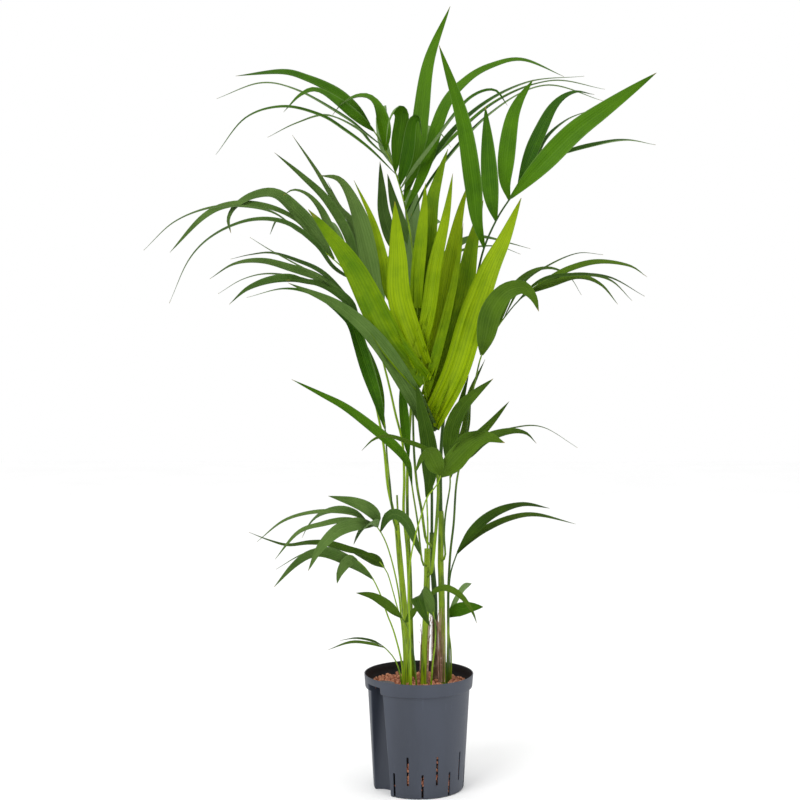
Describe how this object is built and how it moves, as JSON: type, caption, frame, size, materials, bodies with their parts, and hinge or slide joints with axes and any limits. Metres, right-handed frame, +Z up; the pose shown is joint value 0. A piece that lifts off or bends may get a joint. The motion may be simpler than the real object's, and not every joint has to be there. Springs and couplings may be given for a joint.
{
  "type": "potted palm",
  "caption": "Young feather-leaved palm with tall arching fronds, growing in clay granules in a round slate grey culture pot with drain slots and a water gauge channel",
  "frame": {"origin": "centre of the underside of the pot, on the surface it stands on", "axes": "+Z up, the way the palm grows; -Y to the front, the side the young bright frond shows its face to, with the gauge channel at its left; +X to the right seen from the front"},
  "size_m": [0.817, 0.5252, 1.29],
  "materials": {
    "pot_plastic": "fine matte injection moulding, slate grey",
    "fired_clay": "rough fired clay granules, terracotta",
    "leaf": null,
    "young_leaf": null,
    "stem": null,
    "dry_sheath": "dry papery leaf sheath, fibrous and torn, pinkish brown"
  },
  "bodies": {
    "root": {"clay_granules": "fired_clay", "culture_pot": "pot_plastic", "cut_stalk": "stem", "dry_sheath_back": "dry_sheath", "dry_sheath_middle": "dry_sheath", "dry_sheath_right": "dry_sheath", "frond_back": "leaf", "frond_behind": "leaf", "frond_bottom_left": "leaf", "frond_bottom_middle": "leaf", "frond_bottom_right": "leaf", "frond_front": "leaf", "frond_left_lowest": "leaf", "frond_left_narrow": "leaf", "frond_left_small": "leaf", "frond_long_leaflet": "leaf", "frond_low_left": "leaf", "frond_low_middle": "leaf", "frond_low_right": "leaf", "frond_lower_left": "leaf", "frond_mid_left": "leaf", "frond_right": "leaf", "frond_right_forked": "leaf", "frond_single_leaflet": "leaf", "frond_top": "leaf", "frond_upper_right": "leaf", "frond_young_bright": "young_leaf", "stem_back": "stem", "stem_left": "stem", "stem_middle": "stem", "stem_right": "stem"}
  },
  "joints": []
}
